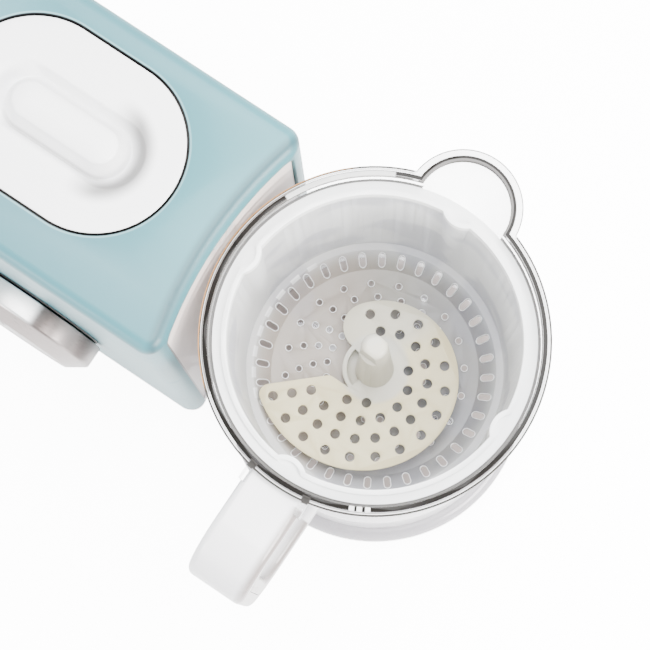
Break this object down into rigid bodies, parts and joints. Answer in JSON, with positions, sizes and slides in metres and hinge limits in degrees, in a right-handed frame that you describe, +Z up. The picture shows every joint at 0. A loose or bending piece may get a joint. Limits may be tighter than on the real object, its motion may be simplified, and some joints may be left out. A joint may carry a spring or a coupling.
{
  "type": "baby food maker",
  "caption": "Countertop baby food maker: a steam tower with a lidded water tank and selector knob beside a lift-off clear blending bowl with a steam basket and strainer plate.",
  "frame": {"origin": "On the table, under the middle of the whole object.", "axes": "+Z up. -Y is the front with the knob and the bowl's handle, +X runs from the tower to the bowl."},
  "size_m": [0.2582, 0.1831, 0.202],
  "materials": {
    "teal_plastic": "satin moulded plastic, pale blue-teal",
    "panel_plastic": "glossy warm light grey plastic",
    "white_plastic": "glossy white plastic",
    "lid_plastic": "satin white plastic",
    "clear_plastic": "clear plastic",
    "frosted_plastic": "translucent white plastic",
    "beige_plastic": "warm beige-grey plastic",
    "silver_plastic": "satin silver plastic",
    "dark_plastic": "dark plastic",
    "rubber": "matt rubber",
    "silicone": "translucent silicone",
    "steel": "brushed stainless steel",
    "dark_steel": "dark zinc-plated steel",
    "aluminium": "cast aluminium",
    "copper": "enamelled copper",
    "magnet": "ferrite",
    "board": "green laminate"
  },
  "bodies": {
    "base": {"tower_shell": "teal_plastic", "side_panel": "panel_plastic", "base_tray": "white_plastic", "rubber_feet": "rubber", "base_screws": "dark_steel", "motor_base": "white_plastic", "motor_can": "dark_steel", "motor_end_cap": "dark_plastic", "motor_magnets": "magnet", "motor_brushes": "magnet", "upper_bearing": "copper", "lower_bearing": "copper", "motor_mounts": "rubber", "motor_screws": "dark_steel", "shaft_seal": "rubber", "boiler_tank": "steel", "heater_plate": "aluminium", "heating_element": "dark_steel", "thermostat": "dark_plastic", "thermal_fuse": "white_plastic", "steam_tube": "silicone", "steam_nozzle": "panel_plastic", "nozzle_seal": "silicone", "selector_switch": "dark_plastic", "dial_ring": "dark_plastic", "control_board": "board", "board_parts": "dark_plastic", "cord_gland": "rubber"},
    "rotor": {"motor_shaft": "steel", "rotor_core": "dark_steel", "rotor_windings": "copper", "commutator": "copper", "cooling_fan": "dark_plastic", "drive_coupler": "dark_plastic"},
    "knob": {"control_knob": "silver_plastic", "knob_face": "silver_plastic", "knob_shaft": "white_plastic"},
    "lid": {"tank_lid": "lid_plastic", "lid_seal": "silicone"},
    "bowl_body": {"bowl": "clear_plastic", "handle_outer": "white_plastic", "handle_inner": "white_plastic", "handle_screws": "dark_steel", "blade_bush": "copper", "blade_seal": "rubber"},
    "blade": {"blade_shaft": "steel", "blade_hub": "white_plastic", "cutting_blades": "steel", "blade_coupler": "dark_plastic"},
    "basket": {"steam_basket": "frosted_plastic"},
    "strainer": {"strainer_plate": "beige_plastic"}
  },
  "joints": [
    {"name": "lid_lift", "type": "slide", "parent": "base", "child": "lid", "axis": [0, 0, 1], "range_m": [0, 0.06]},
    {"name": "bowl_lift", "type": "slide", "parent": "base", "child": "bowl_body", "axis": [0, 0, 1], "range_m": [0, 0.13]},
    {"name": "basket_lift", "type": "slide", "parent": "bowl_body", "child": "basket", "axis": [0, 0, 1], "range_m": [0, 0.11]},
    {"name": "plate_lift", "type": "slide", "parent": "basket", "child": "strainer", "axis": [0, 0, 1], "range_m": [0, 0.09]},
    {"name": "motor_spin", "type": "hinge", "parent": "base", "child": "rotor", "pos_m": [0.0658, 0.01315, 0], "axis": [0, 0, 1], "continuous": true},
    {"name": "blade_spin", "type": "hinge", "parent": "bowl_body", "child": "blade", "pos_m": [0.0658, 0.01315, 0], "axis": [0, 0, 1], "continuous": true},
    {"name": "knob_turn", "type": "hinge", "parent": "base", "child": "knob", "pos_m": [-0.0651, -0.03935, 0.08], "axis": [0, 1, 0], "range_deg": [-45, 45]}
  ],
  "couplings": [
    {"joint": "blade_spin", "follows": "motor_spin", "ratio": 1}
  ]
}
